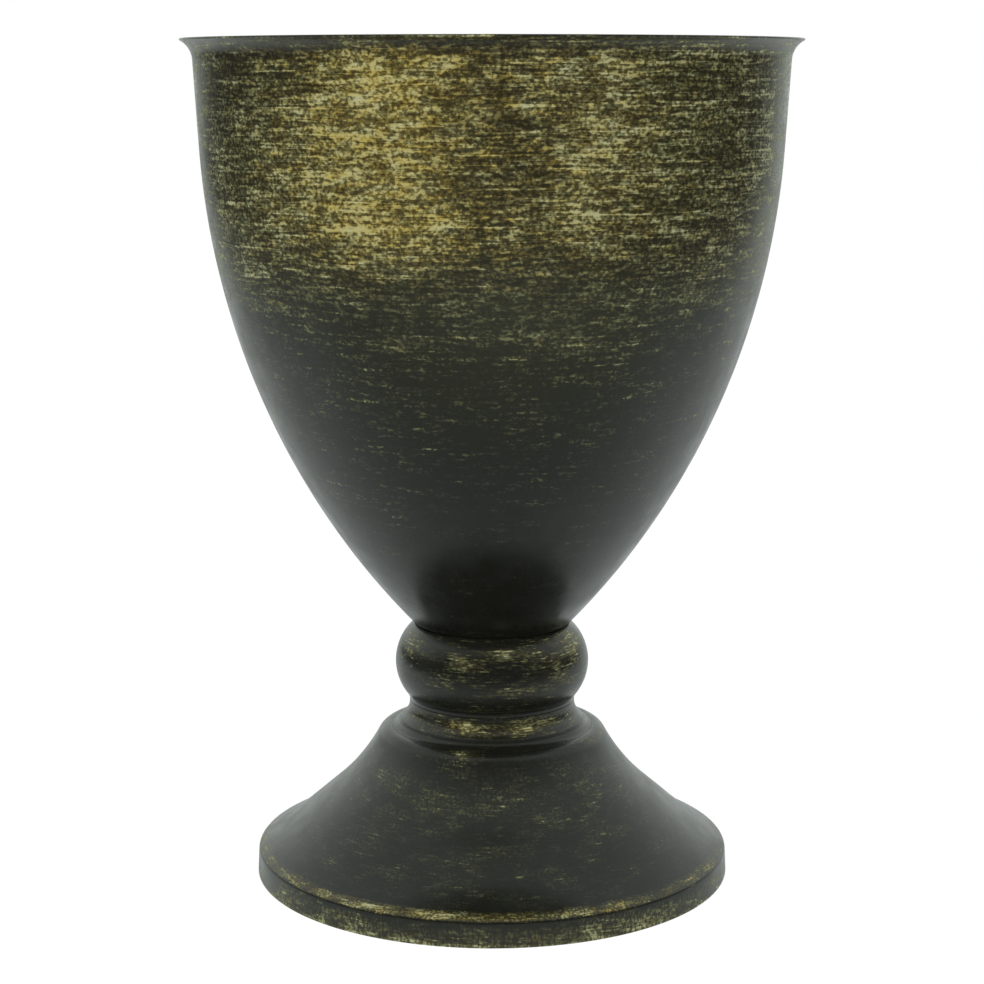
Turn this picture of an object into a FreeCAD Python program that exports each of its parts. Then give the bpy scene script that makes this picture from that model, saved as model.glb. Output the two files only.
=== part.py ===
import FreeCAD, Part
import math
import os

# A footed tabletop urn of spun sheet metal, standing on z = 0 with its axis on Z.
# From the top down it is a deep bowl, a round bead, a ridged collar and a flared foot.
# One bolt along the axis clamps them, through a sleeve that the bead and collar hide.
# All lengths are in millimetres and all angles in degrees.

# Sheet thicknesses
bowl_sheet = 0.5
bead_sheet = 0.8
collar_sheet = 0.8
foot_sheet = 0.8

# Foot: a flat crown, a rounded shoulder, a hollow cone, a lip and a trimmed low skirt
foot_height = 37.35
foot_radius = 60.0
shoulder_start_radius = 25.7
shoulder_bend = 3.6
shoulder_turn = 61.5
cone_radius_shares = (0.6833, 0.8167, 0.9833)
cone_height_shares = (0.5475, 0.3614, 0.1800)
foot_lip_inside_bend = 0.4
skirt_flare = 3.0
trim_allowance = 1.0

# Collar: a low upright side, a round ridge and a hollow sweep up to a short neck, with a
# flange at each end
collar_height = 7.85
collar_radius = 23.3
collar_inside_bend = 0.3
collar_side = 0.24
collar_top_flange = 4.0
neck_inset = 2.4
neck_straight = 0.56

# Bead: a fat round moulding that the bowl sits down into
bead_max_radius = 24.4
bead_round = 12.7
bead_equator_height = 8.8
bead_inside_bend = 0.2
bead_top_turn = 75.0
bead_clearance = 0.12

# Bowl: an out-turned lip, a nearly straight upper wall, a long curved side, a flat seat
wall_top_radius = 72.04
wall_rise = 139.45
wall_taper = 3.2
wall_straight = 20.7
lip_bend = 5.32
lip_tilt = 63.765
belly_radius_share = 0.8065
belly_rise_share = 0.43313
bowl_joint_inset = 4.9
floor_bend = 8.0

# Clamping bolt, its nut and everything that it passes through
bolt_diameter = 6.0
thread_clearance = 0.05
hole_clearance = 0.3
sleeve_clearance = 0.3
across_flats = 10.0
head_height = 4.0
nut_height = 5.0
corner_chamfer_angle = 30.0
bolt_tip_chamfer = 0.8
bolt_showing = 2.5
sleeve_diameter = 14.0
seal_diameter = 16.0
seal_thickness = 1.5
seal_margin = 0.447
bowl_washer_diameter = 14.0
bowl_washer_thickness = 1.2
backing_plate_diameter = 36.0
backing_plate_thickness = 1.5
flat_washer_diameter = 12.0
flat_washer_thickness = 1.6
spring_washer_diameter = 10.6
spring_washer_thickness = 1.6
spring_washer_slot = 1.2
spring_washer_slant = 20.0

# Places that follow from the stack of foot, collar, bead and bowl
hole_radius = bolt_diameter / 2 + hole_clearance
sleeve_hole_radius = sleeve_diameter / 2 + sleeve_clearance
bead_base_z = foot_height + collar_height
bead_equator_z = bead_base_z + bead_equator_height
bead_centre_radius = bead_max_radius - bead_round
bowl_joint_radius = bead_max_radius - bowl_joint_inset
bowl_joint_z = bead_equator_z + math.sqrt(
    bead_round ** 2 - (bowl_joint_radius - bead_centre_radius) ** 2)
wall_top_z = bowl_joint_z + wall_rise

up = FreeCAD.Vector(0, 0, 1)


def at(point):
    return FreeCAD.Vector(point[0], 0, point[1])


# The point at a distance to the left of a way that leads in the given heading
def beside(point, heading, distance):
    return (point[0] - distance * math.sin(heading),
            point[1] + distance * math.cos(heading))


# A half section drawn with straight runs and tangent bends, as radius and height.
# A positive turn bends to the left of the way that it is drawn.
class Outline:
    def __init__(self, radius, height, heading):
        self.point = (radius, height)
        self.heading = math.radians(heading)
        self.runs = []

    def straight(self, length):
        end = (self.point[0] + length * math.cos(self.heading),
               self.point[1] + length * math.sin(self.heading))
        self.runs.append((self.point, self.heading, end, self.heading))
        self.point = end

    def bend(self, radius, turn):
        reach = math.copysign(radius, turn)
        heading = self.heading + math.radians(turn)
        centre = beside(self.point, self.heading, reach)
        end = beside(centre, heading, -reach)
        self.runs.append((self.point, self.heading, end, heading))
        self.point = end
        self.heading = heading

    # Bends on until the way leads in the given heading
    def bend_until(self, radius, heading):
        self.bend(radius, heading - math.degrees(self.heading))

    # One tangent bend that ends at the given point; gives back its radius
    def bend_to(self, radius, height):
        across = radius - self.point[0]
        rise = height - self.point[1]
        half_turn = math.atan2(rise, across) - self.heading
        half_turn = math.atan2(math.sin(half_turn), math.cos(half_turn))
        bend_radius = math.hypot(across, rise) / (2 * math.sin(abs(half_turn)))
        self.bend(bend_radius, math.degrees(2 * half_turn))
        return bend_radius

    # The runs as edges, all moved to the left by the given distance
    def edges(self, distance):
        made = []
        for start, heading, end, end_heading in self.runs:
            first = at(beside(start, heading, distance))
            last = at(beside(end, end_heading, distance))
            if heading == end_heading:
                made.append(Part.LineSegment(first, last).toShape())
                continue
            half_turn = (end_heading - heading) / 2
            chord = math.hypot(end[0] - start[0], end[1] - start[1])
            reach = chord / (2 * math.sin(half_turn))
            centre = beside(start, heading, reach)
            middle = at(beside(centre, heading + half_turn, distance - reach))
            made.append(Part.Arc(first, middle, last).toShape())
        return made

    def ends(self, distance):
        start, heading, _, _ = self.runs[0]
        _, _, end, end_heading = self.runs[-1]
        return beside(start, heading, distance), beside(end, end_heading, distance)


def line(start, end):
    return Part.LineSegment(at(start), at(end)).toShape()


def spin(edges):
    face = Part.Face(Part.Wire(edges))
    return face.revolve(FreeCAD.Vector(0, 0, 0), up, 360)


# Sheet metal on the left of an outline, or on its right for a negative thickness
def spun_sheet(outline, thickness):
    start, end = outline.ends(0)
    inside_start, inside_end = outline.ends(thickness)
    inside = outline.edges(thickness)
    inside.reverse()
    return spin(outline.edges(0) + [line(end, inside_end)]
                + inside + [line(inside_start, start)])


# All that lies between an outline, moved to its left, and the axis
def spun_fill(outline, distance):
    start, end = outline.ends(distance)
    low, high = (0, end[1]), (0, start[1])
    return spin(outline.edges(distance)
                + [line(end, low), line(low, high), line(high, start)])


def disc(diameter, thickness, bore_radius, base_z):
    base = FreeCAD.Vector(0, 0, base_z)
    body = Part.makeCylinder(diameter / 2, thickness, base)
    return body.cut(Part.makeCylinder(bore_radius, thickness, base))


# A hexagon block with chamfered corners on its top and, if asked for, on its underside
def hexagon(height, base_z, chamfer_below):
    flat = across_flats / 2
    corner = flat / math.cos(math.radians(30))
    drop = (corner - flat) * math.tan(math.radians(corner_chamfer_angle))
    points = []
    for side in range(7):
        angle = math.radians(60 * side)
        points.append(FreeCAD.Vector(corner * math.cos(angle), corner * math.sin(angle), base_z))
    block = Part.Face(Part.makePolygon(points)).extrude(up * height)
    top_z = base_z + height
    points = [(0, base_z), (corner, base_z)]
    if chamfer_below:
        points = [(0, base_z), (flat, base_z), (corner, base_z + drop)]
    points += [(corner, top_z - drop), (flat, top_z), (0, top_z), (0, base_z)]
    barrel = spin([line(start, end) for start, end in zip(points, points[1:])])
    return block.common(barrel)


# The bowl's outside, from its rim down to the edge of its bolt hole. The side's bend runs
# on below the joint until the floor's bend from there ends just outside the seal.
def bowl_outline():
    taper = math.radians(wall_taper)
    tilt = math.radians(lip_tilt)
    rim_radius = wall_top_radius + lip_bend * (math.cos(taper) - math.cos(tilt))
    rim_z = wall_top_z + lip_bend * (math.sin(tilt) - math.sin(taper))
    outline = Outline(rim_radius, rim_z, -90 - lip_tilt)
    outline.bend_until(lip_bend, -90 - wall_taper)
    outline.straight(wall_straight)
    outline.bend_to(wall_top_radius * belly_radius_share,
                    bowl_joint_z + wall_rise * belly_rise_share)
    side_bend = outline.bend_to(bowl_joint_radius, bowl_joint_z)
    floor_radius = seal_diameter / 2 + seal_margin
    across = floor_radius - bowl_joint_radius - side_bend * math.sin(outline.heading)
    outline.bend_until(side_bend, -180 - math.degrees(math.asin(across / (floor_bend - side_bend))))
    outline.bend_until(floor_bend, -180)
    outline.straight(floor_radius - hole_radius)
    return outline


def bowl_shell():
    return spun_sheet(bowl_outline(), -bowl_sheet)


# The bead stops just short of the bowl that sits down into it
def stem_bead():
    bend = bead_inside_bend + bead_sheet
    tuck = math.asin((bead_equator_height - bend) / (bead_round - bend))
    flange_edge = bead_centre_radius + (bead_round - bend) * math.cos(tuck)
    outline = Outline(sleeve_hole_radius, bead_base_z, 0)
    outline.straight(flange_edge - sleeve_hole_radius)
    outline.bend_until(bend, 90 - math.degrees(tuck))
    outline.bend_until(bead_round, 90 + bead_top_turn)
    return spun_sheet(outline, bead_sheet).cut(spun_fill(bowl_outline(), bead_clearance))


# The ridge and the sweep lean by the same angle. Together they draw in by the neck's inset
# over the height that the rest leaves, which gives that angle and the sweep's radius.
def stem_collar():
    bend = collar_inside_bend + collar_sheet
    rise = collar_height - 2 * bend - collar_side - neck_straight
    lean = 2 * math.atan(neck_inset / rise)
    sweep = rise / math.sin(lean) - bend
    outline = Outline(sleeve_hole_radius, foot_height, 0)
    outline.straight(collar_radius - bend - sleeve_hole_radius)
    outline.bend_until(bend, 90)
    outline.straight(collar_side)
    outline.bend_until(bend, 90 + math.degrees(lean))
    outline.bend_until(sweep, 90)
    outline.straight(neck_straight)
    outline.bend_until(bend, 180)
    outline.straight(collar_top_flange)
    return spun_sheet(outline, collar_sheet)


# The skirt is spun past the floor and trimmed flat, so the urn stands on its cut edge
def foot_shell():
    lip_bend_radius = foot_lip_inside_bend + foot_sheet
    outline = Outline(hole_radius, foot_height, 0)
    outline.straight(shoulder_start_radius - hole_radius)
    outline.bend(shoulder_bend, -shoulder_turn)
    for radius_share, height_share in zip(cone_radius_shares, cone_height_shares):
        outline.bend_to(foot_radius * radius_share, foot_height * height_share)
    outline.bend_until(lip_bend_radius, skirt_flare - 90)
    skirt_drop = outline.point[1] + trim_allowance
    outline.straight(skirt_drop / math.cos(math.radians(skirt_flare)))
    waste = Part.makeCylinder(foot_radius + trim_allowance, 2 * trim_allowance,
                              up * (-2 * trim_allowance))
    return spun_sheet(outline, -foot_sheet).cut(waste)


# Heights of what is stacked along the bolt, each part seated on the one before it
bowl_seat_z = bowl_outline().point[1]
seal_z = bowl_seat_z + bowl_sheet
bowl_washer_z = seal_z + seal_thickness
head_z = bowl_washer_z + bowl_washer_thickness
crown_underside_z = foot_height - foot_sheet
backing_plate_z = crown_underside_z - backing_plate_thickness
flat_washer_z = backing_plate_z - flat_washer_thickness
spring_washer_z = flat_washer_z - spring_washer_thickness
nut_z = spring_washer_z - nut_height


def stem_sleeve():
    return disc(sleeve_diameter, bowl_seat_z - foot_height, hole_radius, foot_height)


def bowl_seal():
    return disc(seal_diameter, seal_thickness, hole_radius, seal_z)


def bowl_washer():
    return disc(bowl_washer_diameter, bowl_washer_thickness, hole_radius, bowl_washer_z)


def backing_plate():
    return disc(backing_plate_diameter, backing_plate_thickness, hole_radius, backing_plate_z)


def flat_washer():
    return disc(flat_washer_diameter, flat_washer_thickness, hole_radius, flat_washer_z)


# A split ring: the slot is cut on a slant, as the wire of the ring was
def spring_washer():
    ring = disc(spring_washer_diameter, spring_washer_thickness, hole_radius, spring_washer_z)
    reach = spring_washer_diameter / 2 + spring_washer_slot
    height = spring_washer_thickness * 3
    slot = Part.makeBox(reach, spring_washer_slot, height,
                        FreeCAD.Vector(0, -spring_washer_slot / 2, -height / 2))
    slot.rotate(FreeCAD.Vector(0, 0, 0), FreeCAD.Vector(1, 0, 0), spring_washer_slant)
    slot.translate(up * (spring_washer_z + spring_washer_thickness / 2))
    return ring.cut(slot)


def tie_bolt():
    radius = bolt_diameter / 2
    tip_radius = radius - bolt_tip_chamfer
    end_z = nut_z - bolt_showing
    points = [(0, end_z), (tip_radius, end_z), (radius, end_z + bolt_tip_chamfer),
              (radius, head_z), (0, head_z), (0, end_z)]
    shank = spin([line(start, end) for start, end in zip(points, points[1:])])
    return shank.fuse(hexagon(head_height, head_z, False)).removeSplitter()


def hex_nut():
    bore_radius = bolt_diameter / 2 + thread_clearance
    bore = Part.makeCylinder(bore_radius, nut_height, up * nut_z)
    return hexagon(nut_height, nut_z, True).cut(bore)


pieces = (bowl_shell, stem_bead, stem_collar, foot_shell, stem_sleeve, bowl_seal,
          bowl_washer, backing_plate, flat_washer, spring_washer, tie_bolt, hex_nut)

os.makedirs("parts", exist_ok=True)
for piece in pieces:
    shape = piece()
    shape.exportStep("parts/" + piece.__name__ + ".step")
    box = shape.optimalBoundingBox()
    print(piece.__name__, "solids", len(shape.Solids), "valid", shape.isValid(),
          "radius", round(box.XMax, 2), "from", round(box.ZMin, 2), "to", round(box.ZMax, 2))
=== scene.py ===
import math

import bpy
import numpy as np
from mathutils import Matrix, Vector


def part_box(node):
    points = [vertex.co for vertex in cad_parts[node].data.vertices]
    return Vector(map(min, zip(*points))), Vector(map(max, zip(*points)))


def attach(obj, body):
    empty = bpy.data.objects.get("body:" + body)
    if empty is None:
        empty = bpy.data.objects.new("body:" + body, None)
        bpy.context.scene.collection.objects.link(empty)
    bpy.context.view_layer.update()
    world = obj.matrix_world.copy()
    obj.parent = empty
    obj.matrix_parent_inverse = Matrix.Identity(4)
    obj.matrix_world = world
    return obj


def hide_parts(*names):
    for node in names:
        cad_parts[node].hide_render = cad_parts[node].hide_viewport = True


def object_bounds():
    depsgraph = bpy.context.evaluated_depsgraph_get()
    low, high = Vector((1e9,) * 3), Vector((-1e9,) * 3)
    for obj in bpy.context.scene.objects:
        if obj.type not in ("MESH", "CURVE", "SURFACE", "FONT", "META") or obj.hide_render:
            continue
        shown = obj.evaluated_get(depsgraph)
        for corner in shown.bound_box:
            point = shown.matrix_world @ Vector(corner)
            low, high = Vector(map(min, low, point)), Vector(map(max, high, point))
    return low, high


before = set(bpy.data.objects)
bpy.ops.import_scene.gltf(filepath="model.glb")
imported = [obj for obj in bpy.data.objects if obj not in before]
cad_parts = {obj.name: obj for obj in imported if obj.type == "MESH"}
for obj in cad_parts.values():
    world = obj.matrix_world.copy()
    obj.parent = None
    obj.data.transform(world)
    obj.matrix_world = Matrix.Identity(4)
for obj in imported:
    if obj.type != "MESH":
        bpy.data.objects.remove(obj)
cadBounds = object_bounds()
mm = 0.001
print("frame loaded:", len(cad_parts), "nodes")


# The point at a distance to the left of a way that leads in the given heading
def beside(point, heading, distance):
    return (point[0] - distance * math.sin(heading), point[1] + distance * math.cos(heading))


# Bend radius and turn of the one tangent arc from a point and heading to a goal:
# the chord meets the heading at half the turn, and is twice the radius times its sine
def bendTo(point, heading, goal):
    across, rise = goal[0] - point[0], goal[1] - point[1]
    halfTurn = math.atan2(rise, across) - heading
    halfTurn = math.atan2(math.sin(halfTurn), math.cos(halfTurn))
    return math.hypot(across, rise) / (2 * math.sin(abs(halfTurn))), 2 * halfTurn


# A half section walked with straight runs and tangent bends, as radius and height.
# On a straight the place is the start plus the way gone times the heading's direction.
# On a bend it is the centre plus the arm, turned by the share of the turn gone.
# Runs are ("go", length), ("bend", radius, turn), ("until", radius, heading) and
# ("to", radius, height); lengths in millimetres, angles in degrees. No step between points
# is longer, and no turn between them wider, than the last two values say.
def walkOutline(start, heading, runs, longestStep, widestTurn):
    point, heading = start, math.radians(heading)
    points, headings = [np.array([point])], [np.array([heading])]
    for kind, *values in runs:
        if kind == "go":
            steps = max(2, math.ceil(values[0] / longestStep))
            gone = np.arange(1, steps + 1) / steps * values[0]
            places = np.array(point) + gone[:, None] * [math.cos(heading), math.sin(heading)]
            ways = np.full(steps, heading)
        else:
            if kind == "bend":
                radius, turn = values[0], math.radians(values[1])
            elif kind == "until":
                radius, turn = values[0], math.radians(values[1]) - heading
            else:
                radius, turn = bendTo(point, heading, values)
            reach = math.copysign(radius, turn)
            centre = beside(point, heading, reach)
            steps = max(3, math.ceil(radius * abs(turn) / longestStep),
                        math.ceil(math.degrees(abs(turn)) / widestTurn))
            ways = heading + np.arange(1, steps + 1) / steps * turn
            places = np.stack([centre[0] + reach * np.sin(ways),
                               centre[1] - reach * np.cos(ways)], axis=1)
        points.append(places)
        headings.append(ways)
        point, heading = tuple(places[-1]), ways[-1]
    return np.concatenate(points), np.concatenate(headings)


# The closed section of a sheet: out along one face, round a half ellipse at the cut edge,
# back along the other face at the sheet's thickness to the left, and round the first edge.
# Gives the points, the way gone along the face, and 0 outside to 1 inside.
def sheetSection(points, headings, thickness, edgeBulge, edgeSteps=7):
    left = np.stack([-np.sin(headings), np.cos(headings)], axis=1)
    ahead = np.stack([np.cos(headings), np.sin(headings)], axis=1)
    gone = np.concatenate([[0], np.cumsum(np.hypot(*np.diff(points, axis=0).T))])
    turn = (np.arange(1, edgeSteps + 1) / (edgeSteps + 1) * math.pi)[:, None]
    half = thickness / 2

    def roundEdge(index, sense):
        middle = points[index] + half * left[index]
        across = -np.cos(turn) if sense > 0 else np.cos(turn)
        return middle + across * half * left[index] + sense * np.sin(turn) * edgeBulge * ahead[index]

    def edgeWay(index):
        return np.full(edgeSteps, gone[index])

    otherFace = (points + thickness * left)[::-1]
    section = np.concatenate([points, roundEdge(-1, 1), otherFace, roundEdge(0, -1)])
    along = np.concatenate([gone, edgeWay(-1), gone[::-1], edgeWay(0)])
    rise = turn[:, 0] / math.pi
    inside = np.concatenate([np.zeros(len(points)), rise, np.ones(len(points)), 1 - rise])
    return section, along, inside


# A closed surface of revolution: the place at angle a and section point (r, z) is
# (r sin a, -r cos a, z), so that angle 0 faces the camera; both ways of the grid close.
# swell(a, z) is added to the radius, for the slight unevenness of hand-spun sheet.
def spinSection(name, section, angles, swell):
    radius, height = section[:, 0][None, :], section[:, 1][None, :]
    angle = np.linspace(0, 2 * math.pi, angles, endpoint=False)[:, None]
    radius = radius + swell(angle, height)
    places = np.stack([radius * np.sin(angle), -radius * np.cos(angle),
                       np.broadcast_to(height, radius.shape)], axis=-1) * mm
    count = section.shape[0]
    index = np.arange(angles * count).reshape(angles, count)
    quads = np.stack([index, np.roll(index, -1, 0), np.roll(np.roll(index, -1, 0), -1, 1),
                      np.roll(index, -1, 1)], axis=-1).reshape(-1, 4)
    ahead = np.roll(section, -1, 0)
    area = np.sum(section[:, 0] * ahead[:, 1] - ahead[:, 0] * section[:, 1])
    if area < 0:  # the section runs clockwise, so the faces would point inwards
        quads = quads[:, ::-1]
    mesh = bpy.data.meshes.new(name)
    mesh.from_pydata(places.reshape(-1, 3), [], quads)
    mesh.polygons.foreach_set("use_smooth", np.ones(len(quads), dtype=bool))
    piece = bpy.data.objects.new(name, mesh)
    bpy.context.scene.collection.objects.link(piece)
    return piece, angle, np.broadcast_to(height, (angles, count))


def writeAttribute(piece, name, values):
    layer = piece.data.attributes.new(name, "FLOAT", "POINT")
    layer.data.foreach_set("value", np.ascontiguousarray(values, dtype=np.float32).ravel())


# A share from 0 to 1 by angle and height. Each patch is a bell round the axis times a band in
# height with soft ends, and patches add as covers do: what one leaves bare, the next may take.
def patchShare(angle, height, patches):
    bare = np.ones(np.broadcast_shapes(angle.shape, height.shape))
    for centre, spread, low, high, softLow, softHigh, amount in patches:
        apart = np.angle(np.exp(1j * (angle - math.radians(centre))))
        bell = np.exp(-(apart / math.radians(spread)) ** 2)
        rise = np.clip((height - low) / softLow + 0.5, 0, 1)
        fall = np.clip((high - height) / softHigh + 0.5, 0, 1)
        bare = bare * (1 - amount * bell * rise ** 2 * (3 - 2 * rise) * fall ** 2 * (3 - 2 * fall))
    return 1 - bare


def addNode(tree, kind, values=None, **settings):
    node = tree.nodes.new(kind)
    for name, value in settings.items():
        setattr(node, name, value)
    for key, value in (values or {}).items():
        if isinstance(value, bpy.types.NodeSocket):
            tree.links.new(value, node.inputs[key])
        else:
            node.inputs[key].default_value = value
    return node


def calculate(tree, operation, *values, clamp=False):
    node = addNode(tree, "ShaderNodeMath", dict(enumerate(values)), operation=operation, use_clamp=clamp)
    return node.outputs[0]


def remap(tree, value, fromLow, fromHigh, toLow, toHigh, kind="LINEAR"):
    node = addNode(tree, "ShaderNodeMapRange", {"Value": value, "From Min": fromLow, "From Max": fromHigh,
                                                "To Min": toLow, "To Max": toHigh},
                   interpolation_type=kind, clamp=True)
    return node.outputs[0]


def noise(tree, point, size, detail=2.0, roughness=0.5):
    node = addNode(tree, "ShaderNodeTexNoise", {"Vector": point, "Scale": 1 / (size * mm),
                                                "Detail": detail, "Roughness": roughness})
    return node.outputs["Fac"]


def blendColour(tree, share, first, second, mode="MIX"):
    node = addNode(tree, "ShaderNodeMix", {0: share, 6: first, 7: second},
                   data_type="RGBA", blend_type=mode)
    return node.outputs[2]


def newMaterial(name):
    material = bpy.data.materials.new(name)
    material.use_nodes = True
    material.node_tree.nodes.clear()
    return material, material.node_tree


def finishMaterial(tree, shader):
    addNode(tree, "ShaderNodeOutputMaterial", {"Surface": shader.outputs[0]})


antiquePaint = {
    "enamel": (0.0078, 0.0084, 0.0060),       # black-olive satin enamel
    "stainedAndLit": (0.0340, 0.0255, 0.0065),      # the same, browner and lighter where much gold was rubbed over it, partly a painted highlight where the lamps fall in front
    "washAndFloorReflection": (0.0280, 0.0300, 0.0185),        # the same, paler and greener in a band round the bowl's middle: a thin wash, and partly a painted reflection of the floor
    "stainAndLightPower": 2.0,                        # of the brushed amount, for the share that is stained and lit
    "insideCoat": (0.014, 0.015, 0.012),
    "thinGold": (1.0, 0.752, 0.12),           # colours of the gold at full strength, thin and thick, and where it turns olive, which on the bowl is partly painted cool side light
    "thickGold": (1.0, 0.835, 0.23),          # thin and thick, and where it has gone olive
    "thinOlive": (1.0, 1.06, 0.46),
    "thickOlive": (1.0, 1.04, 0.64),
    "bodyRange": (0.08, 0.45),                # strengths at which the gold is thin and thick
    "tintSize": (4.5, 1.8),                   # length and width of the patches of hue
    "tintDetail": (3.0, 0.6),                 # finer layers of their noise, and the share each keeps
    "tintSpread": 2.4,
    "tintShift": 0.04,
    "strokeRoughness": 0.55,
    "crispness": 0.11,                        # half the range of noise that counts
    "strokeSpread": 0.64,                     # of one noise then, where 1 is its reach
    "filmStrength": 0.026,                    # of white, at the middle of the scale
    "filmGrowth": 1.05,                       # times e to this power with each step of thickness
    "fullStrength": 0.43,                     # which it nears as it grows
    "levelReach": 2.35,                       # steps of thickness from half to full brushing
    "bareAmount": 0.08,                       # below this amount the film drops away
    "bareDrop": 1.8,
    "coverRange": (-0.5, 2.0),                # thicknesses at which the gold's gloss begins and is full
    "mottleSize": 6.0,
    "mottleRange": (0.3, 0.7),
    "enamelRoughness": (0.20, 0.32),          # at the two ends of the mottle
    "goldRoughness": 0.42,
    "goldMetal": 0.25,
    "peelSize": 1.6,                          # orange peel, and the gold's own thickness
    "peelDepth": 0.006,
    "goldDepth": 0.016,
}


# Enamel with dry-brushed gold. The strokes are noises drawn out round the axis, by sampling
# (x, y, way along the section times length over width). Each is set to run from -1 to 1 with
# soft ends, and their weighted sum is scaled to one step of spread. The brushed amount sets
# the level, thin lines add steps, and where little was brushed on the strokes are fewer and
# crisper. The brushed amount is partly painted highlight where the lamps fall in front.
# The film grows as e to their sum, and its strength nears the full one as 1 minus e
# to minus their quotient. Its colour runs from thin to thick gold, turned to olive by place
# and by a noise; the turn by place is partly painted cool light at the bowl's sides and back.
# The enamel below is browner and lighter under much gold, partly a painted highlight, and
# paler in a band that is a thin wash and partly a painted reflection of the floor.
def paintMaterial(name, brush):
    material, tree = newMaterial(name)
    look = antiquePaint
    place = addNode(tree, "ShaderNodeTexCoord").outputs["Object"]
    along, amount, oliveAndCoolLight, washAndFloorReflection, inside = (
        addNode(tree, "ShaderNodeAttribute", attribute_name=key).outputs["Fac"]
        for key in ("along", "goldAndHighlightAmount", "oliveAndCoolLight", "washAndFloorReflection", "inside"))
    apart = addNode(tree, "ShaderNodeSeparateXYZ", {0: place})
    drift = calculate(tree, "SUBTRACT", noise(tree, place, brush["driftSize"], 1.0), 0.5)
    wandered = calculate(tree, "MULTIPLY_ADD", drift, brush["drift"] * mm, along)

    def drawnOut(length, width):
        tall = calculate(tree, "MULTIPLY", wandered, length / width)
        values = {0: apart.outputs[0], 1: apart.outputs[1], 2: tall}
        return addNode(tree, "ShaderNodeCombineXYZ", values).outputs[0]

    total, power = None, 0
    for length, width, weight, detail in brush["strokes"]:
        grain = noise(tree, drawnOut(length, width), length, detail, look["strokeRoughness"])
        part = remap(tree, grain, 0.5 - look["crispness"], 0.5 + look["crispness"], -1.0, 1.0,
                     "SMOOTHSTEP")
        total = (calculate(tree, "MULTIPLY", part, weight) if total is None
                 else calculate(tree, "MULTIPLY_ADD", part, weight, total))
        power += weight ** 2
    spread = calculate(tree, "MULTIPLY", total, 1 / (look["strokeSpread"] * math.sqrt(power)))
    level = remap(tree, amount, 0.0, 1.0, -look["levelReach"], look["levelReach"])
    bareness = remap(tree, amount, 0.0, look["bareAmount"], -look["bareDrop"], 0.0)
    if "sparse" in brush:
        below, contrast, drop = brush["sparse"]
        spread = calculate(tree, "MULTIPLY", spread, remap(tree, amount, 0.0, below, contrast, 1.0))
        level = calculate(tree, "ADD", level, remap(tree, amount, 0.0, below, -drop, 0.0))
    thick = calculate(tree, "ADD", spread, calculate(tree, "ADD", level, bareness))
    length, width, low, high, steps = brush["lines"]
    line = remap(tree, noise(tree, drawnOut(length, width), length, 1.0), low, high, 0.0, steps)
    thick = calculate(tree, "ADD", thick, line)
    growth = calculate(tree, "EXPONENT", calculate(tree, "MULTIPLY", thick, look["filmGrowth"]))
    quotient = calculate(tree, "MULTIPLY", growth, -look["filmStrength"] / look["fullStrength"])
    bare = calculate(tree, "EXPONENT", quotient)
    strength = calculate(tree, "MULTIPLY", calculate(tree, "SUBTRACT", 1.0, bare), look["fullStrength"])

    body = remap(tree, strength, *look["bodyRange"], 0.0, 1.0)
    rich = blendColour(tree, body, (*look["thinGold"], 1), (*look["thickGold"], 1))
    dull = blendColour(tree, body, (*look["thinOlive"], 1), (*look["thickOlive"], 1))
    hue = noise(tree, drawnOut(*look["tintSize"]), look["tintSize"][0], *look["tintDetail"])
    hue = calculate(tree, "SUBTRACT", hue, 0.5)
    hue = calculate(tree, "MULTIPLY_ADD", hue, look["tintSpread"], look["tintShift"])
    # Olive by place: partly painted cool light at the bowl's sides and back, warm gold in front where the
    # key lamp falls.
    turned = calculate(tree, "ADD", oliveAndCoolLight, hue, clamp=True)
    film = blendColour(tree, strength, (0, 0, 0, 1), blendColour(tree, turned, rich, dull))
    # Browner, lighter enamel under much gold: partly painted highlight, as the amount is.
    stainAndLight = calculate(tree, "POWER", amount, look["stainAndLightPower"])
    enamel = blendColour(tree, stainAndLight, (*look["enamel"], 1), (*look["stainedAndLit"], 1))
    # Paler enamel in a band: a thin wash, and partly a painted reflection of the floor.
    enamel = blendColour(tree, washAndFloorReflection, enamel, (*look["washAndFloorReflection"], 1))
    enamel = blendColour(tree, inside, enamel, (*look["insideCoat"], 1))
    colour = blendColour(tree, 1.0, enamel, film, "ADD")

    cover = remap(tree, thick, *look["coverRange"], 0.0, 1.0, "SMOOTHSTEP")
    mottle = noise(tree, place, look["mottleSize"], 3.0)
    enamelRough = remap(tree, mottle, *look["mottleRange"], *look["enamelRoughness"])
    rough = addNode(tree, "ShaderNodeMix", {0: cover, 2: enamelRough, 3: look["goldRoughness"]}).outputs[0]
    metal = calculate(tree, "MULTIPLY", cover, look["goldMetal"])

    peel = calculate(tree, "MULTIPLY", noise(tree, place, look["peelSize"], 2.0), look["peelDepth"] * mm)
    relief = calculate(tree, "MULTIPLY_ADD", cover, look["goldDepth"] * mm, peel)
    bump = addNode(tree, "ShaderNodeBump", {"Height": relief, "Strength": 1.0, "Distance": 1.0})
    shader = addNode(tree, "ShaderNodeBsdfPrincipled", {
        "Base Color": colour, "Roughness": rough, "Metallic": metal, "IOR": 1.5,
        "Specular IOR Level": 0.5, "Normal": bump.outputs[0]})
    finishMaterial(tree, shader)
    return material


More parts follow.
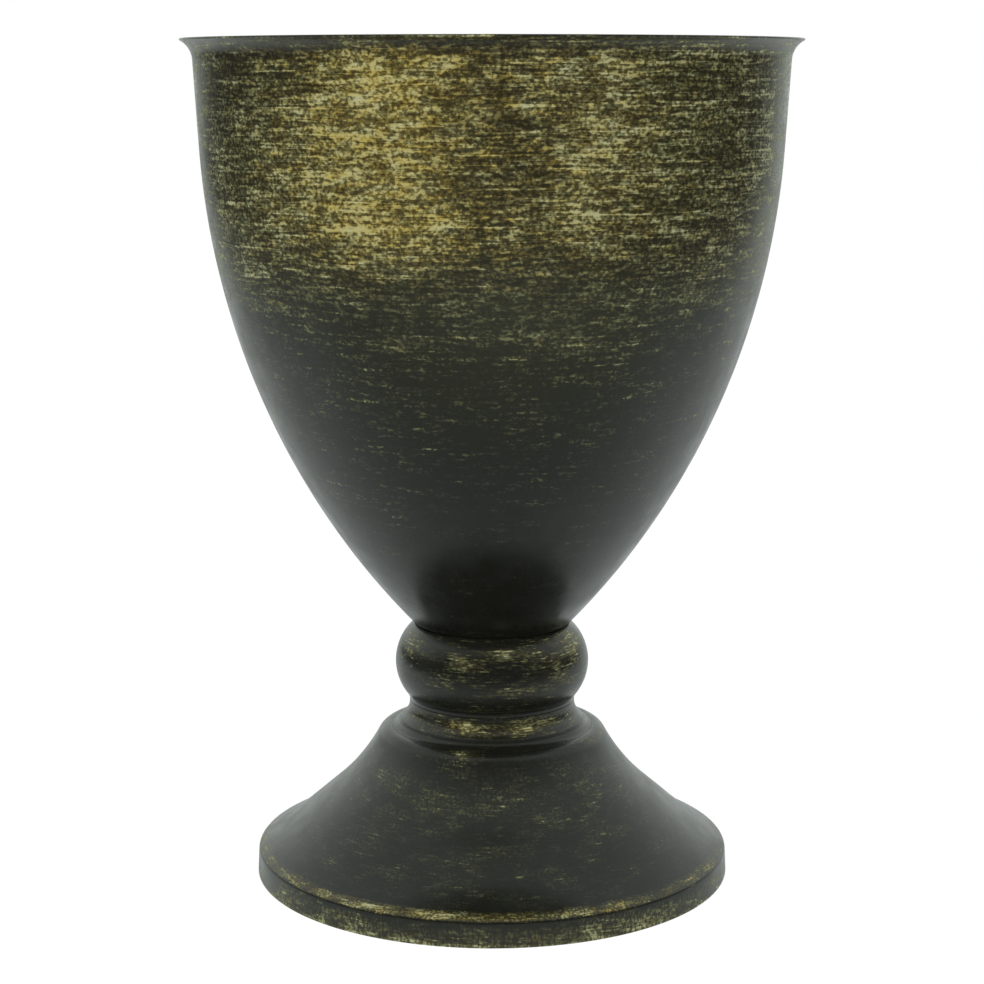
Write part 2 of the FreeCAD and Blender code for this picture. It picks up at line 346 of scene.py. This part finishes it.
bowlLook = {
    "sheet": 0.5, "edgeBulge": 0.16, "waviness": 0.05,
    "angles": 288, "longestStep": 1.3, "widestTurn": 7.0,
    "lipBend": 5.32, "lipTilt": 63.765, "wallTaper": 3.2, "wallStraight": 20.7,
    "bellyRadiusShare": 0.8065, "bellyRiseShare": 0.43313,
    "jointRadius": 19.5, "floorBend": 8.0, "sealMargin": 0.447, "holeRadius": 3.3,
    "patches": [  # angle, spread, low, high, softness low and high, amount
        # The heavy patches at -19 and 18 degrees sit where the key and fill lamps' highlights fall in
        # front: there the gold is partly painted highlight.
        (-19, 14, 160, 205, 20, 5, 0.93),
        (-35, 14, 161, 194, 18, 12, 0.46),
        (-62, 20, 152, 188, 20, 16, 0.27),
        (18, 9, 163, 205, 20, 6, 0.50),
        (30, 11, 167, 204, 14, 8, 0.22),
        (0, 30, 155, 204, 14, 6, 0.14),
        (60, 22, 152, 206, 24, 6, 0.24),
        (140, 42, 155, 205, 24, 8, 0.55),
        (-135, 40, 155, 205, 24, 8, 0.55),
        (0, 400, 151, 210, 28, 6, 0.33),
        (-7, 9, 207.9, 210, 0.5, 1, 0.90),
        (-20, 8, 138.5, 143, 3, 3, 0.20),
        (16, 13, 137, 147, 6, 5, 0.17),
        (0, 400, 129, 209, 48, 2, 0.12),
        (0, 400, 90, 209, 30, 2, 0.055),
    ],
    "olivesAndCoolLight": [
        # The olive turn at 72, -68 and 180 degrees is partly painted cool light at the sides and back,
        # leaving the gold warm in front where the key lamp falls.
        (16, 24, 156, 206, 18, 3, 0.24),
        (180, 125, 30, 250, 1, 1, 1.0),
        (72, 30, 30, 250, 1, 1, 0.95),
        (-68, 28, 30, 250, 1, 1, 0.90),
        (0, 400, 30, 156, 1, 18, 0.85),
        (0, 400, 206, 250, 3, 1, 0.6),
        (40, 24, 30, 250, 1, 1, 0.3),
    ],
    # A paler band round the middle, in front and behind: a thin wash, and partly a painted reflection of
    # the floor.
    "washAndReflectionBands": [(8, 42, 127, 157, 50, 24, 0.75), (180, 70, 127, 157, 50, 24, 0.75)],
    "brush": {
        "drift": 1.6, "driftSize": 26.0,
        "strokes": [  # length, width, weight, detail
            (14.0, 1.05, 0.64, 2.0),
            (2.7, 0.80, 0.90, 2.0),
            (0.9, 0.75, 1.00, 1.0),
            (9.0, 3.8, 0.45, 1.0),
            (26.0, 11.0, 0.16, 1.0),
        ],
        "lines": (22.0, 0.55, 0.58, 0.68, 1.5),  # length, width, noise where they begin and are full, steps
        "sparse": (0.30, 2.0, 2.6),  # below this amount up to this contrast, and fewer steps of thickness
    },
}

beadLook = {
    "sheet": 0.8, "edgeBulge": 0.1, "waviness": 0.015,
    "angles": 224, "longestStep": 0.7, "widestTurn": 5.0,
    "round": 12.7, "equatorHeight": 8.8, "insideBend": 0.2, "topTurn": 51.3,
    "patches": [
        # The patches at -17 and 8 degrees sit where the key and fill lamps' highlights fall in front: there
        # the gold is partly painted highlight.
        (-17, 8, 57.2, 59.6, 2, 2, 0.74),
        (8, 16, 59.4, 61.6, 2, 2, 0.50),
        (-18, 12, 53.2, 55.0, 2, 2, 0.24),
        (15, 14, 50.8, 53.0, 2, 2, 0.30),
        (50, 20, 50, 62, 5, 4, 0.26),
        (-66, 12, 58, 63, 3, 3, 0.55),
        (62, 13, 58, 64, 3, 3, 0.64),
        (150, 50, 50, 62, 5, 5, 0.36),
        (-130, 40, 50, 62, 5, 5, 0.36),
        (0, 400, 46, 65, 4, 4, 0.04),
    ],
    "olivesAndCoolLight": [(0, 400, -50, 250, 1, 1, 0.8), (-17, 14, 56, 61, 2, 2, 0.1)],
    "brush": {
        "drift": 0.8, "driftSize": 12.0,
        "strokes": [
            (3.4, 0.55, 0.8, 2.0),
            (1.2, 0.50, 1.0, 1.0),
            (6.0, 3.0, 0.7, 1.0),
        ],
        "lines": (6.0, 0.35, 0.58, 0.66, 2.2),
    },
}

collarLook = {
    "sheet": 0.8, "edgeBulge": 0.1, "waviness": 0.015,
    "angles": 224, "longestStep": 0.5, "widestTurn": 9.0,
    "insideBend": 0.3, "side": 0.24, "topFlange": 4.0, "neckInset": 2.4, "neckStraight": 0.56,
    "patches": [
        # The patches at -19 and 23 degrees sit where the key and fill lamps' highlights fall in front:
        # there the gold is partly painted highlight.
        (-19, 11, 40.2, 43.4, 1.5, 1.5, 0.55),
        (23, 11, 40.2, 43.4, 1.5, 1.5, 0.50),
        (2, 36, 39.9, 43.0, 1.2, 2, 0.30),
        (45, 12, 40.5, 43.5, 1.5, 2, 0.25),
        (130, 60, 39.9, 43.4, 1.5, 2, 0.35),
        (-120, 50, 39.9, 43.4, 1.5, 2, 0.35),
        (0, 400, 39, 44, 2, 2, 0.08),
    ],
    "olivesAndCoolLight": [(0, 400, -50, 250, 1, 1, 0.6)],
    "brush": {
        "drift": 0.4, "driftSize": 8.0,
        "strokes": [
            (2.6, 0.55, 0.8, 2.0),
            (1.0, 0.50, 1.0, 1.0),
            (5.0, 2.4, 0.6, 1.0),
        ],
        "lines": (6.0, 0.35, 0.58, 0.66, 2.2),
    },
}

footLook = {
    "sheet": 0.8, "edgeBulge": 0.22, "waviness": 0.015,
    "angles": 288, "longestStep": 0.9, "skirtStep": 0.6, "widestTurn": 7.0,
    "radius": 60.0, "holeRadius": 3.3, "shoulderStart": 25.7, "shoulderBend": 3.6, "shoulderTurn": 61.5,
    "coneRadiusShares": (0.6833, 0.8167, 0.9833), "coneHeightShares": (0.5475, 0.3614, 0.1800),
    "lipInsideBend": 0.4, "skirtFlare": 3.0,
    "patches": [
        (0, 400, 6.3, 7.6, 0.7, 0.7, 0.50),
        # The patch at -8 degrees on the skirt's top edge and the one at -14 degrees on the shoulder sit
        # where the lamps' highlights fall in front: there the gold is partly painted highlight.
        (-8, 34, 6.4, 7.5, 0.7, 0.7, 0.55),
        (0, 400, -1, 4.4, 4.0, 4.0, 0.43),
        (24, 26, -1, 4.6, 2.0, 3.0, 0.20),
        (0, 400, -1, 0.9, 1.0, 1.0, 0.48),
        (-14, 7, 35.6, 37.3, 1, 1, 0.55),
        (62, 12, 35.4, 37.3, 1, 1, 0.45),
        (-120, 40, 35.4, 37.3, 1, 1, 0.35),
        (150, 30, 35.4, 37.3, 1, 1, 0.35),
        (0, 400, 24, 36, 6, 4, 0.05),
        (0, 400, 9, 30, 8, 8, 0.06),
    ],
    "olivesAndCoolLight": [
        (0, 400, 8, 250, 1, 1, 1.0),
        (0, 400, -50, 5.6, 1, 1, 1.0),
        (0, 400, 5.6, 8, 1, 1, 0.55),
    ],
    "brush": {
        "drift": 1.0, "driftSize": 20.0,
        "strokes": [
            (3.2, 0.55, 0.7, 2.0),
            (0.6, 1.10, 1.0, 1.0),
            (9.0, 4.5, 0.8, 1.0),
        ],
        "lines": (5.0, 0.45, 0.62, 0.70, 2.0),
    },
}

sleeveClearance = 0.3  # round the sleeve, in the bead's and the collar's holes


# From the rim down and in: the lip's bend, the straight wall, an arc to the belly, another
# through the joint on the bead, the floor's bend and the flat floor. The lip's edge is the sheet
# times the sine of its tilt below the piece's top, and the joint is on the bead's circle. The
# last arc ends where the sine of its heading is the distance across from its centre to the
# floor bend's, over the difference of the two bends.
def bowlSection(look):
    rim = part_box("bowl_shell")[1]
    beadLow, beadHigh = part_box("stem_bead")
    taper, tilt = math.radians(look["wallTaper"]), math.radians(look["lipTilt"])
    rimRadius = rim.x / mm
    rimHeight = rim.z / mm - look["sheet"] * math.sin(tilt)
    wallTopRadius = rimRadius - look["lipBend"] * (math.cos(taper) - math.cos(tilt))
    wallTop = rimHeight - look["lipBend"] * (math.sin(tilt) - math.sin(taper))
    reach = look["jointRadius"] - (beadHigh.x / mm - beadLook["round"])
    joint = beadLow.z / mm + beadLook["equatorHeight"] + math.sqrt(beadLook["round"] ** 2 - reach ** 2)
    belly = (wallTopRadius * look["bellyRadiusShare"], joint + (wallTop - joint) * look["bellyRiseShare"])
    points, headings = walkOutline((rimRadius, rimHeight), -90 - look["lipTilt"], [
        ("until", look["lipBend"], -90 - look["wallTaper"]), ("go", look["wallStraight"]),
        ("to", *belly)], look["longestStep"], look["widestTurn"])
    sideBend, turn = bendTo(points[-1], headings[-1], (look["jointRadius"], joint))
    jointHeading = headings[-1] + turn
    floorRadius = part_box("bowl_seal")[1].x / mm + look["sealMargin"]
    across = floorRadius - look["jointRadius"] - sideBend * math.sin(jointHeading)
    tail = -180 - math.degrees(math.asin(across / (look["floorBend"] - sideBend)))
    more, ways = walkOutline(tuple(points[-1]), math.degrees(headings[-1]), [
        ("until", sideBend, tail), ("until", look["floorBend"], -180),
        ("go", floorRadius - look["holeRadius"])], look["longestStep"], look["widestTurn"])
    points, headings = np.concatenate([points, more[1:]]), np.concatenate([headings, ways[1:]])
    return sheetSection(points, headings, -look["sheet"], look["edgeBulge"])


# From the hole out along the lower flange, a small bend up into the bead's circle, and round
# that to a turn past its equator. The bend is tuck short of a quarter turn, where the sine of
# tuck is the bend centre's drop below the equator over the difference of the two bends.
def beadSection(look):
    low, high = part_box("stem_bead")
    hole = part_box("stem_sleeve")[1].x / mm + sleeveClearance
    bend = look["insideBend"] + look["sheet"]
    tuck = math.asin((look["equatorHeight"] - bend) / (look["round"] - bend))
    flange = high.x / mm - look["round"] + (look["round"] - bend) * math.cos(tuck)
    points, headings = walkOutline((hole, low.z / mm), 0, [
        ("go", flange - hole), ("until", bend, 90 - math.degrees(tuck)),
        ("until", look["round"], 90 + look["topTurn"])], look["longestStep"], look["widestTurn"])
    return sheetSection(points, headings, look["sheet"], look["edgeBulge"])


# From the hole out along the lower flange, up the ridge's side, in to the neck by two arcs that
# turn as far one way as the other, up the neck and in along the upper flange. The tangent of half
# that turn is the inset over the rise, and the two bends add up to the rise over the turn's sine.
def collarSection(look):
    low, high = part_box("stem_collar")
    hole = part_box("stem_sleeve")[1].x / mm + sleeveClearance
    bend = look["insideBend"] + look["sheet"]
    rise = (high.z - low.z) / mm - 2 * bend - look["side"] - look["neckStraight"]
    lean = 2 * math.atan(look["neckInset"] / rise)
    points, headings = walkOutline((hole, low.z / mm), 0, [
        ("go", high.x / mm - bend - hole), ("until", bend, 90), ("go", look["side"]),
        ("until", bend, 90 + math.degrees(lean)), ("until", rise / math.sin(lean) - bend, 90),
        ("go", look["neckStraight"]), ("until", bend, 180),
        ("go", look["topFlange"])], look["longestStep"], look["widestTurn"])
    return sheetSection(points, headings, look["sheet"], look["edgeBulge"])


# From the hole out along the crown, round the shoulder, down the cone in three tangent arcs to
# shares of the foot's radius and height, round the lip's inner bend and down the flared skirt.
# The skirt's length is the height left above the edge's bulge, over the cosine of the flare.
def footSection(look):
    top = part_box("foot_shell")[1].z / mm
    lipBend = look["lipInsideBend"] + look["sheet"]
    runs = [("go", look["shoulderStart"] - look["holeRadius"]),
            ("bend", look["shoulderBend"], -look["shoulderTurn"])]
    runs += [("to", look["radius"] * radius, top * height)
             for radius, height in zip(look["coneRadiusShares"], look["coneHeightShares"])]
    runs += [("until", lipBend, look["skirtFlare"] - 90)]
    points, headings = walkOutline((look["holeRadius"], top), 0, runs, look["longestStep"],
                                   look["widestTurn"])
    drop = (points[-1][1] - look["edgeBulge"]) / math.cos(math.radians(look["skirtFlare"]))
    more, ways = walkOutline(tuple(points[-1]), look["skirtFlare"] - 90, [("go", drop)],
                             look["skirtStep"], look["widestTurn"])
    points, headings = np.concatenate([points, more[1:]]), np.concatenate([headings, ways[1:]])
    section, along, inside = sheetSection(points, headings, -look["sheet"], look["edgeBulge"])
    section[:, 1] = np.maximum(section[:, 1], 0)
    return section, along, inside


swellWaves = [  # waves round the axis, millimetres of height per radian of drift, share, phase
    (2, 40, 0.5, 0.0),
    (3, -23, 0.3, 1.0),
    (7, 15, 0.2, 2.0),
]


# A slow swell of the sheet: the depth times the sum over the waves of
# share times the sine of waves times angle plus height over drift plus phase
def handSwell(depth):
    def swell(angle, height):
        return depth * sum(share * np.sin(waves * angle + height / drift + phase)
                           for waves, drift, share, phase in swellWaves)
    return swell


# Spins a section, writes what the paint reads, and gives the piece its paint, body and slot.
# The gold fades out between a quarter and three quarters of the way round a cut edge.
def makePaintedPiece(name, node, sectionOf, look):
    section, along, inside = sectionOf(look)
    piece, angle, height = spinSection(name, section, look["angles"], handSwell(look["waviness"]))
    shape = height.shape
    writeAttribute(piece, "along", np.broadcast_to(along * mm, shape))
    writeAttribute(piece, "inside", np.broadcast_to(inside, shape))
    outside = np.clip(1.5 - 2 * inside[None, :], 0, 1)
    # The gold amount is partly painted highlight where the front patches meet the lamps' highlights.
    writeAttribute(piece, "goldAndHighlightAmount", outside * patchShare(angle, height, look["patches"]))
    writeAttribute(piece, "oliveAndCoolLight", patchShare(angle, height, look["olivesAndCoolLight"]))
    writeAttribute(piece, "washAndFloorReflection", outside * patchShare(angle, height, look.get("washAndReflectionBands", [])))
    piece.data.materials.append(paintMaterial(name + "_paint", look["brush"]))
    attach(piece, "root")
    if node:
        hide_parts(node)
    print(name, "made:", len(piece.data.polygons), "faces")


makePaintedPiece("urn_bowl", "bowl_shell", bowlSection, bowlLook)
makePaintedPiece("urn_bead", "stem_bead", beadSection, beadLook)
makePaintedPiece("urn_collar", "stem_collar", collarSection, collarLook)
makePaintedPiece("urn_foot", "foot_shell", footSection, footLook)


# Enamel that gathered where the collar meets the foot below it and the bead above it
poolLook = {
    "footRun": 2.2, "footRise": 1.75, "footHollow": 0.08, "beadRise": 1.9, "depth": 0.9,
    "waviness": 0.015, "angles": 224, "longestStep": 0.3, "widestTurn": 9.0,
    "patches": [], "olivesAndCoolLight": [], "brush": collarLook["brush"],
}


# The section of a ring of enamel: one hollow arc from a start to an end, closed by a back
def poolSection(start, heading, end, look):
    points = walkOutline(start, heading, [("to", *end)], look["longestStep"], look["widestTurn"])[0]
    back = min(start[0], end[0]) - look["depth"]
    gone = np.concatenate([[0], np.cumsum(np.hypot(*np.diff(points, axis=0).T))])
    section = np.concatenate([points, [(back, end[1]), (back, start[1])]])
    return section, np.concatenate([gone, [gone[-1], 0]]), np.zeros(len(section))


# Under the collar: from the foot's crown in to the ridge and up its side, sunk in it a little
def footPool(look):
    low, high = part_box("stem_collar")
    outer, base = high.x / mm, low.z / mm
    end = (outer - look["footHollow"], base + look["footRise"])
    return poolSection((outer + look["footRun"], base), 180, end, look)


# Over the neck: up the neck's side and out to the bead, whose radius at a height is its circle's
# centre plus the root of the circle's radius squared less the drop below the equator squared
def beadPool(look):
    low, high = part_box("stem_bead")
    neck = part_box("stem_collar")[1].x / mm - collarLook["neckInset"]
    top = low.z / mm
    start = (neck, top - collarLook["insideBend"] - collarLook["sheet"])
    height = start[1] + look["beadRise"]
    drop = top + beadLook["equatorHeight"] - height
    radius = high.x / mm - beadLook["round"] + math.sqrt(beadLook["round"] ** 2 - drop ** 2)
    return poolSection(start, 90, (radius, height), look)


makePaintedPiece("urn_foot_enamel", None, footPool, poolLook)
makePaintedPiece("urn_bead_enamel", None, beadPool, poolLook)


zincPlate = {
    "colour": (0.58, 0.58, 0.55), "dull": (0.42, 0.42, 0.40), "cloudSize": 5.0,
    "dullRange": (0.35, 0.68), "roughRange": (0.3, 0.7), "roughness": (0.28, 0.46),
    "markScale": 900.0, "markBend": 1.2, "markDepth": 0.002,
}


# Bright zinc plate with faint turned marks round the axis and dull patches
def zincMaterial():
    material, tree = newMaterial("zinc_plate")
    place = addNode(tree, "ShaderNodeTexCoord").outputs["Object"]
    cloud = noise(tree, place, zincPlate["cloudSize"], 3.0)
    marks = addNode(tree, "ShaderNodeTexWave", {
        "Vector": place, "Scale": zincPlate["markScale"], "Distortion": zincPlate["markBend"],
        "Detail": 2.0, "Detail Scale": 3.0}, wave_type="RINGS", rings_direction="Z").outputs["Fac"]
    share = remap(tree, cloud, *zincPlate["dullRange"], 0.0, 1.0)
    colour = blendColour(tree, share, (*zincPlate["colour"], 1), (*zincPlate["dull"], 1))
    rough = remap(tree, cloud, *zincPlate["roughRange"], *zincPlate["roughness"])
    depth = calculate(tree, "MULTIPLY", marks, zincPlate["markDepth"] * mm)
    bump = addNode(tree, "ShaderNodeBump", {"Height": depth, "Strength": 1.0, "Distance": 1.0})
    shader = addNode(tree, "ShaderNodeBsdfPrincipled", {"Base Color": colour, "Roughness": rough,
                                                        "Metallic": 1.0, "Normal": bump.outputs[0]})
    finishMaterial(tree, shader)
    return material


sealRubber = {
    "dark": (0.016, 0.016, 0.016), "worn": (0.034, 0.033, 0.031), "wornRange": (0.3, 0.7),
    "grainSize": 0.5, "grainDepth": 0.02, "roughness": 0.75,
}


# Matt black rubber with a fine grain
def rubberMaterial():
    material, tree = newMaterial("seal_rubber_finish")
    place = addNode(tree, "ShaderNodeTexCoord").outputs["Object"]
    grain = noise(tree, place, sealRubber["grainSize"], 3.0)
    share = remap(tree, grain, *sealRubber["wornRange"], 0.0, 1.0)
    colour = blendColour(tree, share, (*sealRubber["dark"], 1), (*sealRubber["worn"], 1))
    depth = calculate(tree, "MULTIPLY", grain, sealRubber["grainDepth"] * mm)
    bump = addNode(tree, "ShaderNodeBump", {"Height": depth, "Strength": 1.0, "Distance": 1.0})
    shader = addNode(tree, "ShaderNodeBsdfPrincipled", {
        "Base Color": colour, "Roughness": sealRubber["roughness"], "Normal": bump.outputs[0]})
    finishMaterial(tree, shader)
    return material


zinc, rubber = zincMaterial(), rubberMaterial()
for node in ("stem_sleeve", "bowl_washer", "backing_plate", "flat_washer", "spring_washer",
             "tie_bolt", "hex_nut"):
    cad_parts[node].material_slots[0].material = zinc
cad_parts["bowl_seal"].material_slots[0].material = rubber
print("fastener finishes set")

studio = {
    "diffuseLevel": 0.48, "worldFront": 0.04, "worldFade": (0.02, 0.88), "upWeight": 1.35,
    "worldTint": (0.93, 1.0, 0.96),
    "ceiling": 0.65, "ceilingFade": (0.25, 0.90),
    "sideLean": 0.2, "sideWeight": 0.5, "sideRise": 3.0,
    "floorHalf": 3.0, "floorGlow": 0.94, "floorShade": 0.14, "floorBounce": 0.85,
    "floorFront": 0.115, "floorFade": (-0.22, 0.04),
    "floorMirrored": 0.75, "floorTint": (0.94, 1.02, 0.99), "floorSides": (0.15, 0.65),
    "floorSpread": 0.6,
    "keyPlace": (-0.75, -0.95, 0.75), "keySize": 0.6, "keyShare": 0.55,
    "fillPlace": (0.62, -1.05, 0.55), "fillSize": 0.5, "fillShare": 0.28,
    "lens": 84.05, "sensor": 36, "nearest": 0.05,
    "cameraPlace": (0.0, -0.56605, 0.20095), "cameraTilt": 79.593,
}


# A white studio: full white to the camera and an even part of it to matt surfaces. To gloss it
# is faintly green, dark in front, brighter smoothly upward and backward, darker again low at
# the sides and dimmed a little overhead.
def makeWorld():
    world = bpy.data.worlds.new("studio")
    world.use_nodes = True
    tree = world.node_tree
    tree.nodes.clear()
    ray = addNode(tree, "ShaderNodeLightPath").outputs
    heading = addNode(tree, "ShaderNodeTexCoord").outputs["Generated"]
    way = addNode(tree, "ShaderNodeSeparateXYZ", {0: heading})
    aside = calculate(tree, "MULTIPLY_ADD", way.outputs[1], -studio["sideLean"], way.outputs[0])
    lowness = calculate(tree, "MULTIPLY_ADD", way.outputs[2], -studio["sideRise"], 1.0, clamp=True)
    aside = calculate(tree, "MULTIPLY", calculate(tree, "ABSOLUTE", aside), lowness)
    upAndBack = calculate(tree, "MULTIPLY_ADD", way.outputs[2], studio["upWeight"], way.outputs[1])
    upAndBack = calculate(tree, "MULTIPLY_ADD", aside, -studio["sideWeight"], upAndBack)
    ceiling = remap(tree, way.outputs[2], *studio["ceilingFade"], 1.0, studio["ceiling"], "SMOOTHSTEP")
    level = remap(tree, upAndBack, *studio["worldFade"], studio["worldFront"], ceiling, "SMOOTHSTEP")
    glossy = calculate(tree, "MAXIMUM", ray["Is Glossy Ray"], ray["Is Transmission Ray"])
    lit = addNode(tree, "ShaderNodeMix", {0: glossy, 2: studio["diffuseLevel"], 3: level}).outputs[0]
    strength = calculate(tree, "MAXIMUM", ray["Is Camera Ray"], lit)
    colour = blendColour(tree, glossy, (1, 1, 1, 1), (*studio["worldTint"], 1))
    background = addNode(tree, "ShaderNodeBackground", {"Color": colour, "Strength": strength})
    addNode(tree, "ShaderNodeOutputWorld", {"Surface": background.outputs[0]})
    bpy.context.scene.world = world


# A white floor that keeps the urn's shadow. Its mirror image in gloss is dark in front and at
# the sides, and brightens backward, as the studio above it does.
def makeFloor():
    half = studio["floorHalf"]
    corners = [(-half, -half, 0), (half, -half, 0), (half, half, 0), (-half, half, 0)]
    mesh = bpy.data.meshes.new("floor")
    mesh.from_pydata(corners, [], [(0, 1, 2, 3)])
    floor = bpy.data.objects.new("floor", mesh)
    bpy.context.scene.collection.objects.link(floor)
    material, tree = newMaterial("white_floor")
    ray = addNode(tree, "ShaderNodeLightPath").outputs
    spot = addNode(tree, "ShaderNodeTexCoord").outputs["Object"]
    place = addNode(tree, "ShaderNodeSeparateXYZ", {0: spot})
    glossy = calculate(tree, "MAXIMUM", ray["Is Glossy Ray"], ray["Is Transmission Ray"])
    front = remap(tree, place.outputs[1], *studio["floorFade"], studio["floorFront"],
                  studio["floorMirrored"], "SMOOTHSTEP")
    aside = calculate(tree, "MULTIPLY_ADD", place.outputs[1], -studio["sideLean"], place.outputs[0])
    aside = calculate(tree, "MULTIPLY_ADD", place.outputs[1], -studio["floorSpread"],
                      calculate(tree, "ABSOLUTE", aside))
    side = remap(tree, aside, *studio["floorSides"], studio["floorMirrored"], studio["worldFront"],
                 "SMOOTHSTEP")
    level = calculate(tree, "MINIMUM", front, side)
    bounce = addNode(tree, "ShaderNodeBsdfDiffuse", {"Color": (*[studio["floorBounce"]] * 3, 1)})
    shade = addNode(tree, "ShaderNodeBsdfDiffuse", {"Color": (*[studio["floorShade"]] * 3, 1)})
    glow = addNode(tree, "ShaderNodeEmission", {"Color": (1, 1, 1, 1), "Strength": studio["floorGlow"]})
    mirrored = addNode(tree, "ShaderNodeEmission", {"Color": (*studio["floorTint"], 1), "Strength": level})
    white = addNode(tree, "ShaderNodeAddShader", {0: shade.outputs[0], 1: glow.outputs[0]})
    lit = addNode(tree, "ShaderNodeMixShader", {0: glossy, 1: bounce.outputs[0], 2: mirrored.outputs[0]})
    finishMaterial(tree, addNode(tree, "ShaderNodeMixShader", {
        0: ray["Is Camera Ray"], 1: lit.outputs[0], 2: white.outputs[0]}))
    mesh.materials.append(material)


# A square soft lamp aimed at the urn's middle. A matt white card there would show the given
# share of white: the lamp's power is pi squared times the distance squared times the share.
def makeLamp(name, place, size, share):
    data = bpy.data.lights.new(name, "AREA")
    data.shape, data.size = "SQUARE", size
    aim = np.array([0, 0, (cadBounds[0][2] + cadBounds[1][2]) / 2]) - np.array(place)
    data.energy = math.pi ** 2 * float(aim @ aim) * share
    lamp = bpy.data.objects.new(name, data)
    lamp.location = place
    lamp.visible_glossy = False
    tilt = math.acos(-aim[2] / np.linalg.norm(aim))
    lamp.rotation_euler = (tilt, 0, math.atan2(aim[1], aim[0]) - math.pi / 2)
    bpy.context.scene.collection.objects.link(lamp)


# The camera stands at the photograph's distance, height and tilt
def makeCamera():
    data = bpy.data.cameras.new("camera")
    data.lens, data.sensor_width, data.clip_start = studio["lens"], studio["sensor"], studio["nearest"]
    camera = bpy.data.objects.new("camera", data)
    camera.location = studio["cameraPlace"]
    camera.rotation_euler = (math.radians(studio["cameraTilt"]), 0, 0)
    bpy.context.scene.collection.objects.link(camera)
    bpy.context.scene.camera = camera


makeWorld()
makeFloor()
makeLamp("key_lamp", studio["keyPlace"], studio["keySize"], studio["keyShare"])
makeLamp("fill_lamp", studio["fillPlace"], studio["fillSize"], studio["fillShare"])
makeCamera()
bpy.context.scene.view_settings.view_transform = "Standard"
print("studio, lamps and camera set")
